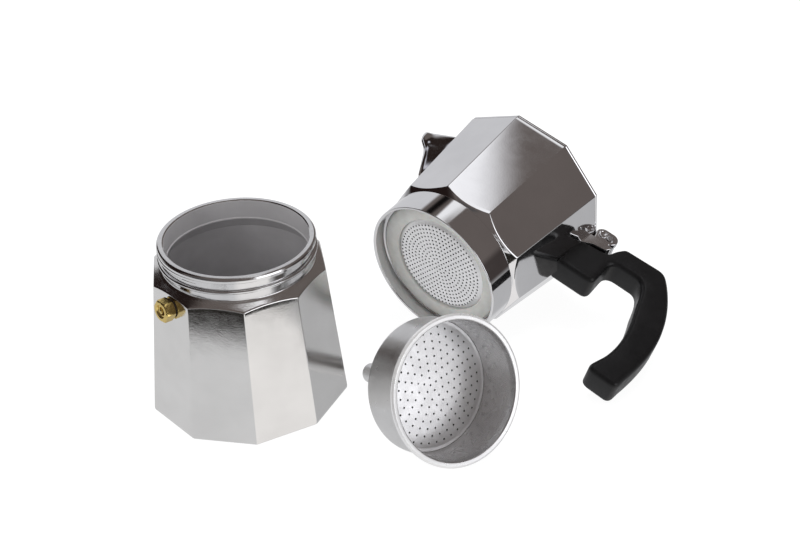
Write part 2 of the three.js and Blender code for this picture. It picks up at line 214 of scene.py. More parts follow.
def spread(tree, value, low, high):
    """Maps a noise value, which mostly lies between 0.3 and 0.7, onto low to high."""
    node = tree.nodes.new("ShaderNodeMapRange")
    node.inputs["From Min"].default_value = 0.3
    node.inputs["From Max"].default_value = 0.7
    node.inputs["To Min"].default_value = low
    node.inputs["To Max"].default_value = high
    link(tree, value, node.inputs["Value"])
    return node.outputs["Result"]


def bump(tree, height, distance, below=None):
    """Relief of the given height in metres, on top of the relief below."""
    node = tree.nodes.new("ShaderNodeBump")
    node.inputs["Strength"].default_value = 1.0
    node.inputs["Distance"].default_value = distance
    link(tree, height, node.inputs["Height"])
    if below is not None:
        link(tree, below, node.inputs["Normal"])
    return node.outputs["Normal"]


def tint(tree, value, dark, light):
    """A colour between dark and light, by value from 0 to 1."""
    node = tree.nodes.new("ShaderNodeMix")
    node.data_type = "RGBA"
    node.inputs["A"].default_value = (*dark, 1)
    node.inputs["B"].default_value = (*light, 1)
    link(tree, value, node.inputs["Factor"])
    return node.outputs["Result"]


def mottle(tree, shader, value, dark, light):
    """Colours the shader between dark and light by a noise value."""
    link(tree, tint(tree, spread(tree, value, 0, 1), dark, light), shader.inputs["Base Color"])


def new_material(name, metallic, roughness):
    material = bpy.data.materials.new(name)
    material.use_nodes = True
    shader = material.node_tree.nodes["Principled BSDF"]
    shader.inputs["Metallic"].default_value = metallic
    shader.inputs["Roughness"].default_value = roughness
    return material, material.node_tree, shader


# Name; dark and light tone; lowest and highest roughness; grain scale and height; wave scale
# and height; how metallic
METALS = {
    "cast": (
        "polished_casting", (0.765, 0.76, 0.75), (0.83, 0.825, 0.815),
        0.12, 0.19, 1100, 0.000022, 70, 0.00003, 1.0,
    ),
    "mirror": (
        "mirror_casting", (0.77, 0.77, 0.78), (0.83, 0.83, 0.84),
        0.04, 0.08, 1300, 0.000003, 45, 0.000012, 1.0,
    ),
    "inside": (
        "cast_inside", (0.44, 0.43, 0.44), (0.54, 0.53, 0.54),
        0.42, 0.6, 900, 0.00006, 120, 0.00008, 0.35,
    ),
    "turned": (
        "turned_aluminium", (0.72, 0.72, 0.73), (0.8, 0.8, 0.8),
        0.09, 0.17, 1800, 0.00001, 200, 0.00002, 1.0,
    ),
    "satin": (
        "pressed_satin", (0.68, 0.68, 0.68), (0.76, 0.76, 0.76),
        0.26, 0.38, 1200, 0.00003, 150, 0.00004, 1.0,
    ),
    "plate": (
        "plate_aluminium", (0.82, 0.82, 0.83), (0.90, 0.90, 0.91),
        0.28, 0.4, 1600, 0.00002, 120, 0.00003, 0.7,
    ),
    "bright_rim": (
        "rolled_rim", (0.74, 0.74, 0.75), (0.82, 0.82, 0.82),
        0.26, 0.34, 1300, 0.000004, 150, 0.00001, 0.6,
    ),
    "basket_inside": (
        "basket_inside", (0.62, 0.61, 0.62), (0.76, 0.76, 0.76),
        0.25, 0.29, 1200, 0.000003, 60, 0.00002, 1.0,
    ),
    # Painted shade: a near-black metal for the basket floor under the punched disc, standing in for the
    # shade there
    "shade_under_disc": (
        "painted_shade_floor", (0.10, 0.10, 0.10), (0.16, 0.16, 0.155),
        0.5, 0.7, 900, 0.00004, 120, 0.00004, 0.3,
    ),
    "brass": (
        "valve_brass", (0.62, 0.45, 0.13), (0.80, 0.62, 0.25),
        0.10, 0.22, 1400, 0.00001, 500, 0.00003, 1.0,
    ),
    "steel": (
        "plated_steel", (0.55, 0.55, 0.56), (0.64, 0.64, 0.65),
        0.18, 0.3, 1500, 0.00001, 300, 0.00003, 1.0,
    ),
}


def metal(name, dark, light, rough_low, rough_high, grain, grain_depth, wave, wave_depth, metallic):
    """Metal with slow tone changes, uneven polish, fine grain and a slight waviness."""
    material, tree, shader = new_material(name, metallic, rough_low)
    place = coordinates(tree)
    mottle(tree, shader, noise(tree, place, 35, 3), dark, light)
    patch = noise(tree, place, 160, 4, 0.6)
    link(tree, spread(tree, patch, rough_low, rough_high), shader.inputs["Roughness"])
    waves = bump(tree, noise(tree, place, wave, 2), wave_depth)
    fine = bump(tree, noise(tree, place, grain, 2), grain_depth, waves)
    link(tree, fine, shader.inputs["Normal"])
    return material


def make_materials():
    made = {key: metal(*values) for key, values in METALS.items()}
    made["silicone"] = silicone_material()
    made["plastic"] = plastic_material()
    made["fibre"] = fibre_material()
    return made


def silicone_material():
    material, tree, shader = new_material("gasket_silicone", 0.0, 0.5)
    place = coordinates(tree)
    mottle(tree, shader, noise(tree, place, 220, 4), (0.52, 0.52, 0.50), (0.60, 0.60, 0.58))
    link(tree, spread(tree, noise(tree, place, 500), 0.42, 0.6), shader.inputs["Roughness"])
    link(tree, bump(tree, noise(tree, place, 900), 0.00003), shader.inputs["Normal"])
    shader.inputs["Subsurface Weight"].default_value = 0.15
    shader.inputs["Subsurface Scale"].default_value = 0.002
    return material


def plastic_material():
    material, tree, shader = new_material("moulded_plastic", 0.0, 0.38)
    place = coordinates(tree)
    mottle(tree, shader, noise(tree, place, 60), (0.0035, 0.0035, 0.004), (0.006, 0.006, 0.0065))
    link(tree, spread(tree, noise(tree, place, 240, 4), 0.3, 0.46), shader.inputs["Roughness"])
    link(tree, bump(tree, noise(tree, place, 1700), 0.00004), shader.inputs["Normal"])
    shader.inputs["Specular IOR Level"].default_value = 0.32
    return material


def fibre_material():
    material, tree, shader = new_material("valve_fibre", 0.0, 0.8)
    place = coordinates(tree)
    mottle(tree, shader, noise(tree, place, 900), (0.045, 0.030, 0.025), (0.075, 0.050, 0.040))
    link(tree, bump(tree, noise(tree, place, 2500), 0.00005), shader.inputs["Normal"])
    return material


# ---- Outline helpers ----
def rounded(corners, closed=False, steps=4):
    """Replaces each (x, y, fillet) corner with a short arc; a fillet of 0 stays sharp."""
    out = []
    count = len(corners)
    for i, (x, y, fillet) in enumerate(corners):
        if fillet == 0 or (not closed and i in (0, count - 1)):
            out.append((x, y))
            continue
        here = Vector((x, y))
        back = Vector(corners[i - 1][:2]) - here
        ahead = Vector(corners[(i + 1) % count][:2]) - here
        reach = fillet / max(math.tan(back.angle(ahead) / 2), 0.05)
        reach = min(reach, 0.48 * back.length, 0.48 * ahead.length)
        start = here + back.normalized() * reach
        end = here + ahead.normalized() * reach
        for k in range(steps + 1):
            t = k / steps
            point = start * (1 - t) ** 2 + here * 2 * t * (1 - t) + end * t**2
            out.append((point.x, point.y))
    return out


def circle(radius, z, count, phase=0.0):
    """Points round a circle, from the angle phase on."""
    step = 2 * math.pi / count
    return [
        Vector((radius * math.cos(phase + k * step), radius * math.sin(phase + k * step), z))
        for k in range(count)
    ]


def column_circle(radius, z, turned=0.0):
    """A circle whose points line up with the columns of decagon()."""
    start = math.radians(turned) - 2 * (2 * math.pi / COLUMNS)
    return circle(radius, z, COLUMNS, start)


# Two rings for each turn, between and beyond which decagon_point() finds its points
DECAGON_PAIRS = {}
NEAR_R = 50.0
FAR_R = 60.0


def decagon(radius, z, turned=0.0, corner=CORNER_R):
    """A ten-sided ring with rounded corners; radius is measured to the sharp corners."""
    bends = []
    centre = radius - corner / math.cos(HALF_SIDE)
    for k in range(SIDES):
        mid = math.radians(turned) + k * 2 * HALF_SIDE
        hub = Vector((centre * math.cos(mid), centre * math.sin(mid), z))
        bend = []
        for s in range(CORNER_STEPS):
            angle = mid + HALF_SIDE * (s / (CORNER_STEPS - 1) * 2 - 1)
            bend.append(hub + corner * Vector((math.cos(angle), math.sin(angle), 0)))
        bends.append(bend)
    points = []
    for k in range(SIDES):
        start = bends[k][-1]
        end = bends[(k + 1) % SIDES][0]
        points += bends[k]
        points += [start.lerp(end, s / (SIDE_STEPS + 1)) for s in range(1, SIDE_STEPS + 1)]
    return points


def decagon_point(j, radius, z, turned):
    """One column's point of decagon(), without building the whole ring."""
    if turned not in DECAGON_PAIRS:
        DECAGON_PAIRS[turned] = (decagon(NEAR_R, 0, turned), decagon(FAR_R, 0, turned))
    near, far = DECAGON_PAIRS[turned]
    point = near[j].lerp(far[j], (radius - NEAR_R) / (FAR_R - NEAR_R))
    return Vector((point.x, point.y, z))


def pull_in(point, inward):
    """The point moved towards the axis, and its new distance from the axis."""
    reach = math.hypot(point.x, point.y)
    r = reach - inward
    return Vector((point.x * r / reach, point.y * r / reach, point.z)), r


def crossing(low, high, gap):
    """Height where gap(z) changes sign, by halving."""
    for _ in range(40):
        middle = (low + high) / 2
        if (gap(low) > 0) == (gap(middle) > 0):
            low = middle
        else:
            high = middle
    return (low + high) / 2


def edge_heights(wall, cone, low, high, turned):
    """For each column, the height where the ten-sided wall meets the cone."""
    heights = []
    for j in range(COLUMNS):
        def gap(z, j=j):
            point = decagon_point(j, wall(z), z, turned)
            return math.hypot(point.x, point.y) - cone(z)
        heights.append(crossing(low, high, gap))
    return heights


def facet_rings(wall, lows, highs, shares, turned):
    """Rings up a ten-sided wall, each at one share of the way up in every column."""
    rings = []
    for share in shares:
        ring = []
        for j in range(COLUMNS):
            z = lows[j] + (highs[j] - lows[j]) * share
            ring.append(decagon_point(j, wall(z), z, turned))
        rings.append(ring)
    return rings


# ---- Mesh helpers ----
def add_ring(bm, points):
    return [bm.verts.new(p) for p in points]


def bridge(bm, a, b, slot=0):
    """Joins two rings of equal length with a band of faces."""
    count = len(a)
    for k in range(count):
        face = bm.faces.new((a[k], a[(k + 1) % count], b[(k + 1) % count], b[k]))
        face.material_index = slot


def fan(bm, ring, centre, slot=0):
    """Closes a ring with triangles round a centre point."""
    hub = bm.verts.new(centre)
    count = len(ring)
    for k in range(count):
        face = bm.faces.new((ring[k], ring[(k + 1) % count], hub))
        face.material_index = slot


def loft(bm, rings, slots=None, loop=False):
    """Joins rings of points in order; slots gives each band's material slot."""
    made = [add_ring(bm, ring) for ring in rings]
    bands = len(made) if loop else len(made) - 1
    for i in range(bands):
        bridge(bm, made[i], made[(i + 1) % len(made)], slots[i] if slots else 0)
    return made


def lathe(bm, profile, count, closed=False):
    """Turns (radius, z) points about Z; an open profile is closed onto the axis."""
    made = loft(bm, [circle(r, z, count) for r, z in profile], loop=closed)
    if not closed:
        fan(bm, made[0], Vector((0, 0, profile[0][1])))
        fan(bm, made[-1], Vector((0, 0, profile[-1][1])))


def helix(bm, root, depth, start, end, slot):
    """A screw ridge with a rounded crest that fades in and out at its ends."""
    per_turn = 72
    fade_steps = 14
    steps = round((end - start) / THREAD_PITCH * per_turn)
    half = [(1.0, 0.3), (0.88, 0.72), (0.45, 1.0), (-0.4, 1.35)]
    section = [(out, -dz) for out, dz in reversed(half)] + half
    rings = []
    for i in range(steps + 1):
        angle = 2 * math.pi * i / per_turn
        z = start + (end - start) * i / steps
        fade = min(1.0, i / fade_steps, (steps - i) / fade_steps)
        ring = []
        for out, dz in section:
            r = root + depth * (out * fade if out > 0 else out)
            ring.append(Vector((r * math.cos(angle), r * math.sin(angle), z + dz * 0.95)))
        rings.append(ring)
    made = loft(bm, rings, [slot] * len(rings))
    for ring in (made[0], made[-1]):
        bm.faces.new(ring).material_index = slot


def inset(outline, distance):
    """Moves a closed outline's points inward, along the bisector of their two edges."""
    count = len(outline)
    pairs = [(outline[i - 1], outline[i]) for i in range(count)]
    area = sum(a[0] * b[1] - b[0] * a[1] for a, b in pairs)
    side = 1 if area > 0 else -1
    moved = []
    for i in range(count):
        here = Vector(outline[i])
        before = (here - Vector(outline[i - 1])).normalized()
        after = (Vector(outline[(i + 1) % count]) - here).normalized()
        inward = Vector((-before.y - after.y, before.x + after.x)) * side
        inward.normalize()
        miter = max(0.6, inward.dot(Vector((-before.y, before.x)) * side))
        moved.append(tuple(here + inward * distance / miter))
    return moved


def pillow_solid(bm, outline, thickness, round_over):
    """Extrudes a closed (x, z) outline along Y with both faces' edges rounded over."""
    steps = 7
    half = thickness / 2
    rings = []
    for side in (-1, 1):
        order = range(steps + 1) if side < 0 else range(steps, -1, -1)
        for k in order:
            angle = math.pi / 2 * k / steps
            drawn = inset(outline, round_over * (1 - math.sin(angle)))
            y = side * (half - round_over * (1 - math.cos(angle)))
            rings.append([Vector((x, y, z)) for x, z in drawn])
    made = loft(bm, rings)
    for ring in (made[0], made[-1]):
        bm.faces.new(ring)


def outline_solid(bm, outline, thickness, offset=0.0):
    """Extrudes a closed (x, z) outline along Y about y = offset."""
    half = thickness / 2
    front = add_ring(bm, [Vector((x, offset - half, z)) for x, z in outline])
    back = add_ring(bm, [Vector((x, offset + half, z)) for x, z in outline])
    bridge(bm, front, back)
    bm.faces.new(front)
    bm.faces.new(list(reversed(back)))


def to_mesh(name, bm):
    mesh = bpy.data.meshes.new(name)
    bm.to_mesh(mesh)
    bm.free()
    return mesh


def placed_mesh(name, bm, place):
    """A mesh in metres in the shared frame, with its faces turned outward."""
    bmesh.ops.recalc_face_normals(bm, faces=bm.faces)
    mesh = to_mesh(name, bm)
    mesh.transform(Matrix.Scale(MM, 4) @ place)
    return mesh


def add_object(name, data):
    thing = bpy.data.objects.new(name, data)
    bpy.context.scene.collection.objects.link(thing)
    return thing


def make_piece(name, bm, place, materials, body, nodes=(), flat_angle=40):
    """Turns a bmesh into an object in the shared frame that rides on a CAD body."""
    mesh = placed_mesh(name, bm, place)
    for material in materials:
        mesh.materials.append(MATERIALS[material])
    piece = add_object(name, mesh)
    mesh.polygons.foreach_set("use_smooth", [True] * len(mesh.polygons))
    mesh.set_sharp_from_angle(angle=math.radians(flat_angle))
    mesh.update()
    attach(piece, body)
    if nodes:
        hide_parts(*nodes)
    return piece


def soften(piece, width):
    """Rounds the piece's sharp edges and evens its shading."""
    bevel = piece.modifiers.new("soften", "BEVEL")
    bevel.width = width * MM
    bevel.segments = 3
    bevel.limit_method = "ANGLE"
    bevel.angle_limit = math.radians(35)
    bevel.use_clamp_overlap = True
    piece.modifiers.new("even", "WEIGHTED_NORMAL").keep_sharp = False


def even_shading(piece):
    """Keeps large flat faces looking flat, and sharp edges sharp."""
    piece.modifiers.new("even", "WEIGHTED_NORMAL").keep_sharp = True


def cut_away(piece, bm, place):
    """Cuts the solid bm out of the piece."""
    cutter = add_object("cutter", placed_mesh("cutter", bm, place))
    modifier = piece.modifiers.new("cut", "BOOLEAN")
    modifier.operation = "DIFFERENCE"
    modifier.solver = "EXACT"
    modifier.object = cutter
    graph = bpy.context.evaluated_depsgraph_get()
    mesh = bpy.data.meshes.new_from_object(piece.evaluated_get(graph))
    piece.modifiers.remove(modifier)
    piece.data = mesh
    bpy.data.objects.remove(cutter)


# ---- Boiler ----
def boiler_radius(z):
    return BASE_R + (SHOULDER_R - BASE_R) * z / SHOULDER_Z


def cone_radius(z):
    return SHOULDER_R - (z - SHOULDER_Z) * (SHOULDER_R - CONE_TOP_R) / CONE_RISE


def cone_height(r):
    return SHOULDER_Z + (SHOULDER_R - r) * CONE_RISE / (SHOULDER_R - CONE_TOP_R)


def boiler_outside():
    """Rings from the base up to the cone: rounded foot, ten facets, scalloped shoulder."""
    foot = ((52.6, 0), (53.9, 0.25), (54.45, 0.9))
    rings = [decagon(r, z, BOILER_TURN, 2.5) for r, z in foot]
    top = edge_heights(boiler_radius, cone_radius, SHOULDER_Z - 3, SHOULDER_Z + 3, BOILER_TURN)
    rings += facet_rings(
        boiler_radius, [FOOT_ROUND_Z] * COLUMNS, [z - EDGE_ROUND for z in top],
        (0.0, 0.02, 0.2, 0.4, 0.6, 0.8, 0.97, 1.0), BOILER_TURN,
    )
    for inward in (0.3, 0.9):
        ring = []
        for j, z in enumerate(top):
            point, r = pull_in(decagon_point(j, boiler_radius(z), z, BOILER_TURN), inward)
            point.z = cone_height(r)
            ring.append(point)
        rings.append(ring)
    return rings


def build_boiler():
    bm = bmesh.new()
    outside = boiler_outside()
    neck = rounded([
        (42.6, 78.54, 0), (CONE_TOP_R, 79.6, 0.3), (NECK_R, 80.4, 0.8), (NECK_R, 90.3, 0.4),
        (40.15, 90.8, 0.3), (40.35, 92.2, 0.4), (39.9, 93.1, 0.4), (39.2, NECK_TOP, 0.3),
        (37.3, NECK_TOP, 0.3), (MOUTH_R, 93.0, 0.3), (MOUTH_R, 82.9, 0.2),
        (MOUTH_R - 0.35, 82.5, 0.15), (MOUTH_R - 0.35, 81.9, 0.15), (37.0, 81.6, 0.2),
        (38.0, 79.8, 0.5), (40.5, 75.4, 1.5), (41.6, 69.0, 2), (48.3, 13, 3), (46.5, 6.6, 3),
        (40, 4.2, 3), (2, CHAMBER_FLOOR, 0),
    ])
    inner_start = next(i for i, (r, z) in enumerate(neck) if r < 37 and z < 93)
    slots = [0] * (len(outside) - 1)
    for i, (r, z) in enumerate(neck):
        slots.append(2 if i >= inner_start else 0 if z < CAST_TO_Z else 1)
    made = loft(bm, outside + [column_circle(r, z, BOILER_TURN) for r, z in neck], slots)
    fan(bm, made[0], Vector((0, 0, 0)))
    fan(bm, made[-1], Vector((0, 0, CHAMBER_FLOOR)), 2)
    helix(bm, NECK_R, THREAD_R - NECK_R, *NECK_THREAD, 1)
    piece = make_piece(
        "boiler_shell", bm, BOILER, ["cast", "turned", "inside"], "boiler",
        ["boiler_casting"], 55,
    )
    even_shading(piece)


def hexagon(z, reach):
    """A hexagon cut by a circle of radius reach, as a turned chamfer cuts a nut."""
    points = []
    for k in range(HEX_POINTS):
        angle = 2 * math.pi * k / HEX_POINTS
        from_flat = (angle + math.pi / 6) % (math.pi / 3) - math.pi / 6
        r = min(reach, HEX_AF / 2 / math.cos(from_flat))
        points.append(Vector((r * math.cos(angle), r * math.sin(angle), z)))
    return points


def build_valve():
    hex_r = HEX_AF / 2 / math.cos(math.pi / 6)
    bm = bmesh.new()
    low = HEX_FROM - 0.7
    top = HEX_TO - 0.4
    recess_floor = 3.0
    rings = [hexagon(z, reach) for z, reach in (
        (low, hex_r - 0.5), (low + 0.35, hex_r + 0.1), (top - 0.9, hex_r + 0.1),
        (top - 0.45, hex_r - 0.35), (top - 0.12, hex_r - 1.0),
    )]
    rings += [circle(r, z, HEX_POINTS) for r, z in (
        (4.7, top), (3.5, top), (3.3, top - 0.25), (3.0, top - 0.9), (2.3, top - 0.95),
        (2.1, top - 1.2), (2.1, recess_floor),
    )]
    made = loft(bm, rings)
    fan(bm, made[0], Vector((0, 0, low)))
    fan(bm, made[-1], Vector((0, 0, recess_floor)))
    make_piece("valve_hex", bm, VALVE, ["brass"], "boiler", ["valve_body"], 25)
    bm = bmesh.new()
    lathe(bm, rounded([
        (0.2, SPRING_ROOM_TO, 0), (SPRING_ROOM_R, SPRING_ROOM_TO, 0.1), (SPRING_ROOM_R, SHANK_END, 0.1),
        (SHANK_R, SHANK_END, 0.3), (SHANK_R, low + 0.5, 0),
    ]), 40)
    crest = SHANK_R + 0.25
    root = SHANK_R - 0.1
    for k in range(6):
        z = SHANK_END + 0.6 + k
        lathe(bm, [(root, z), (crest, z + 0.25), (crest, z + 0.4), (root, z + 0.65)], 40)
    make_piece("valve_shank", bm, VALVE, ["brass"], "boiler")
    bm = bmesh.new()
    seal_r = SHANK_R + 0.4
    lathe(bm, rounded([
        (SHANK_R, 0.1, 0.1), (seal_r, 0.1, 0.1), (seal_r, 0.55, 0.1), (SHANK_R, 0.55, 0.1),
    ], True), 48, True)
    make_piece("valve_seal", bm, VALVE, ["fibre"], "boiler", ["valve_washer"])
    bm = bmesh.new()
    lathe(bm, rounded([
        (2.3, -5.5, 0), (2.3, -4.3, 0.2), (STEM_R, -4.3, 0.1), (STEM_R, 4.6, 0.1),
        (STEM_HEAD_R, 4.7, 0.1), (STEM_HEAD_R, top - 0.3, 0.3), (0.6, top, 0.3), (0.1, top, 0),
    ]), 28)
    make_piece("valve_stem", bm, VALVE, ["brass"], "valve_plunger", ["valve_pin"])
    build_spring()


def build_spring():
    """The valve's coil spring, on a mesh of its own."""
    low = SHANK_END + 4.6
    high = SPRING_ROOM_TO - 2 * WIRE_R
    steps = SPRING_TURNS * 16
    hub = Vector((SPRING_R, 0, 0))
    angles = [k * math.pi / 4 for k in range(8)]
    wire = [hub + WIRE_R * Vector((math.cos(a), 0, math.sin(a))) for a in angles]
    rings = []
    for i in range(steps + 1):
        around = Matrix.Rotation(2 * math.pi * SPRING_TURNS * i / steps, 3, "Z")
        rise = Vector((0, 0, low + (high - low) * i / steps))
        rings.append([around @ (p + rise) for p in wire])
    bm = bmesh.new()
    made = loft(bm, rings)
    for ring in (made[0], made[-1]):
        bm.faces.new(ring)
    spring = make_piece(
        "coil_spring", bm, VALVE, ["steel"], "boiler", ["valve_spring"], 60,
    )
    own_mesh(spring)


# ---- Funnel ----
def flat_circle(x, y, radius, count, shift=0.0):
    """Points round (x, y), starting a share of a step on from the X direction."""
    angles = [2 * math.pi * (k + shift) / count for k in range(count)]
    return [Vector((x + radius * math.cos(a), y + radius * math.sin(a))) for a in angles]


def punched_disc(bm, edge, holes, hole_r, height, thickness):
    """A plate with real round holes; height(r) gives its upper surface."""
    rim_points = 120
    loops = [flat_circle(0, 0, edge, rim_points)]
    loops += [flat_circle(x, y, hole_r, 12) for x, y in holes]
    loops += [flat_circle(0, 0, edge - step, rim_points, 0.5) for step in (0.5, 1.2, 2.2)]
    points = []
    edges = []
    for loop in loops:
        first = len(points)
        points += loop
        edges += [(first + k, first + (k + 1) % len(loop)) for k in range(len(loop))]
    flat, _, faces, _, _, _ = delaunay_2d_cdt(points, edges, [], 0, 1e-6)
    cell = 3.0
    cells = {}
    for centre in (Vector(h) for h in holes):
        key = (round(centre.x / cell), round(centre.y / cell))
        cells.setdefault(key, []).append(centre)

    def in_hole(p):
        gx, gy = round(p.x / cell), round(p.y / cell)
        near = [(gx + dx, gy + dy) for dx in (-1, 0, 1) for dy in (-1, 0, 1)]
        return any((p - c).length < hole_r * 0.97 for key in near for c in cells.get(key, ()))

    solid_faces = []
    for face in faces:
        middle = sum((flat[i] for i in face), Vector((0, 0))) / len(face)
        if middle.length < edge and not in_hole(middle):
            solid_faces.append(face)
    top = [bm.verts.new((p.x, p.y, height(p.length))) for p in flat]
    under = [bm.verts.new((p.x, p.y, height(p.length) - thickness)) for p in flat]
    directed = {}
    for face in solid_faces:
        bm.faces.new([top[i] for i in face])
        bm.faces.new([under[i] for i in reversed(face)])
        for a, b in zip(face, face[1:] + face[:1]):
            directed[(a, b)] = True
    for a, b in directed:
        if (b, a) not in directed:
            bm.faces.new((top[b], top[a], under[a], under[b]))
    loose = [v for v in bm.verts if not v.link_faces]
    bmesh.ops.delete(bm, geom=loose, context="VERTS")


def ring_of_holes(rows, first, step, pitch):
    """Hole centres on concentric rings: row k holds first + step * (k - 1) of them."""
    holes = [(0.0, 0.0)]
    for row in range(1, rows + 1):
        number = first + step * (row - 1)
        for k in range(number):
            angle = 2 * math.pi * (k + 0.37 * row) / number
            holes.append((pitch * row * math.cos(angle), pitch * row * math.sin(angle)))
    return holes


def build_funnel():
    inner = BASKET_R - BASKET_WALL
    floor = -BASKET_DEPTH
    bm = bmesh.new()
    profile = rounded([
        (TUBE_R + 0.3, floor, 0.1), (BASKET_R - 0.1, floor, 3.9), (BASKET_R, -2.6, 0.9),
        (FUNNEL_RIM_R - 0.1, -2.1, 0.8), (FUNNEL_RIM_R, -0.5, 0.8), (FUNNEL_RIM_R - 1.0, 0.0, 0.6),
        (inner + 0.7, -0.15, 0.8), (inner, -3.4, 0.6), (inner, floor + BASKET_WALL, 3.0),
        (TUBE_R + 0.3, floor + BASKET_WALL, 0.1),
    ], True, 6)
    lathe(bm, profile, 144, True)
    # slots: 0 outside, 1 rolled rim, 2 inner wall, 3 floor under the punched disc, given a near-black
    # metal as painted shade
    for face in bm.faces:
        middle = face.calc_center_median()
        r = math.hypot(middle.x, middle.y)
        if middle.z > -2.4 and r > inner + 0.9:
            face.material_index = 1
        elif r < inner + 0.4 and middle.z > floor + 3.9:
            face.material_index = 2
        elif r < inner + 0.1 and middle.z > floor + 0.5:
            face.material_index = 3
    # The fourth material paints the shade on the floor under the punched disc
    make_piece(
        "basket_shell", bm, FUNNEL, ["satin", "bright_rim", "basket_inside", "shade_under_disc"], "funnel",
        ["funnel_basket"], 60,
    )
    bore = TUBE_R - TUBE_WALL
    bm = bmesh.new()
    lathe(bm, rounded([
        (bore, -FUNNEL_LENGTH, 0.2), (TUBE_R, -FUNNEL_LENGTH, 0.25), (TUBE_R, floor - 1.5, 0.4),
        (TUBE_R + 1.3, floor - 1.1, 0.5), (TUBE_R + 1.3, floor - 0.2, 0.3),
        (TUBE_R + 0.2, floor - 0.2, 0.05), (TUBE_R + 0.2, floor + 1.1, 0.05),
        (TUBE_R + 1.1, floor + 1.1, 0.2), (TUBE_R + 1.1, floor + 1.8, 0.2),
        (bore, floor + 1.8, 0.2),
    ], True), 64, True)
    make_piece(
        "funnel_stem", bm, FUNNEL, ["satin"], "funnel", ["funnel_tube"], 60,
    )
    edge = inner - 0.12

    def crown(r):
        """The disc is domed, with a raised lip and a groove round its edge."""
        dome = STRAINER_CROWN * (1 - (r / edge) ** 2)
        lip = 0.2 if r > edge - 0.7 else -0.15 if r > edge - 1.5 else 0.0
        return floor + STRAINER_LIFT + dome + lip

    bm = bmesh.new()
    punched_disc(bm, edge, ring_of_holes(8, 5, 5, 3.7), STRAINER_HOLE_R, crown, 0.25)
    make_piece(
        "perforated_floor", bm, FUNNEL, ["plate"], "funnel", ["funnel_strainer"],
        50,
    )


# ---- Collector ----
def collector_radius(z):
    return FOOT_R + (RIM_R - FOOT_R) * (z - FOOT_Z) / (RIM_Z - FOOT_Z)


def flare_radius(z):
    return COLLAR_END_R + (z - COLLAR_H) * (FOOT_R - COLLAR_END_R) / (FOOT_Z - COLLAR_H)


def collector_outside():
    """Rings from the collar's end up to the top rim: collar, flared shoulder, ten facets."""
    collar = rounded([
        (COLLAR_LIP_R, 0.0, 0), (COLLAR_R - 0.05, 0.0, 0.5), (COLLAR_END_R, COLLAR_H - 0.7, 0.3),
        (COLLAR_END_R - 0.55, COLLAR_H - 0.2, 0.2), (COLLAR_END_R - 0.3, COLLAR_H + 0.1, 0),
    ])
    rings = [column_circle(r, z) for r, z in collar]
    foot = edge_heights(collector_radius, flare_radius, COLLAR_H - 1, FOOT_Z + 1, 0)
    for inward in (0.63, 0.21):
        ring = []
        for j, z in enumerate(foot):
            point, _ = pull_in(decagon_point(j, collector_radius(z), z, 0), inward)
            point.z = z - inward
            ring.append(point)
        rings.append(ring)
    rings += facet_rings(
        collector_radius, [z + EDGE_ROUND for z in foot], [RIM_Z - 0.5] * COLUMNS,
        (0.0, 0.03, 0.2, 0.4, 0.6, 0.8, 0.97, 1.0), 0,
    )
    rings.append(decagon(RIM_R - 0.2, RIM_Z - 0.1))
    rings.append(decagon(RIM_R - 0.6, RIM_Z))
    return rings


def collector_inside():
    wall = BODY_WALL / math.cos(HALF_SIDE)
    rings = [
        decagon(RIM_R - wall + 0.5, RIM_Z, corner=3.0), decagon(RIM_R - wall, RIM_Z - 0.5, corner=3.0),
    ]
    for z in (75.0, 60.0, 45.0, 30.0, 25.0):
        rings.append(decagon(collector_radius(z) - wall, z, corner=3.0 + (RIM_Z - z) * 0.04))
    rings.append(decagon(collector_radius(22) - wall - 1.4, 21.2, corner=6.0))
    rings.append(column_circle(38, 18.9))
    for r, z in ((30, 18.0), (18, 19.6), (9, 21.2), (4, COLLECTOR_FLOOR)):
        rings.append(column_circle(r, z))
    return rings


def build_collector():
    bm = bmesh.new()
    outside = collector_outside()
    inside = collector_inside()
    slots = [0] * len(outside) + [1] * len(inside)
    made = loft(bm, outside + inside, slots)
    fan(bm, made[-1], Vector((0, 0, COLLECTOR_FLOOR)), 1)
    cavity = rounded([
        (COLLAR_LIP_R, 0.0, 0), (BORE_R, 0.6, 0.3), (BORE_R, SEAT_Z, 0.2), (SEAT_R, SEAT_Z, 0.2),
        (SEAT_R, WEB_Z, 0.2), (31, WEB_Z, 0.5), (10, WEB_UNDER_Z, 1), (4, WEB_UNDER_Z, 0),
    ])
    rings = [column_circle(r, z) for r, z in cavity[1:]]
    inner = loft(bm, rings, [2] * len(rings))
    bridge(bm, made[0], inner[0], 2)
    fan(bm, inner[-1], Vector((0, 0, WEB_UNDER_Z)), 2)
    helix(bm, BORE_R, -THREAD_DEPTH, *COLLAR_THREAD, 2)
    piece = make_piece(
        "collector_shell", bm, COLLECTOR, ["mirror", "inside", "turned"], "collector",
        ["collector_casting"], 55,
    )
    notch = bmesh.new()
    outline = [(46, 0.4, 60), (46, 11.6, 91.5), (58, 11.6, 91.5), (58, 0.4, 60)]
    left = add_ring(notch, [(x, -w, z) for x, w, z in outline])
    right = add_ring(notch, [(x, w, z) for x, w, z in outline])
    bridge(notch, left, right)
    notch.faces.new(left)
    notch.faces.new(list(reversed(right)))
    cut_away(piece, notch, SPOUT_PLANE)
    even_shading(piece)
    build_spout()
    build_hinge_lug()


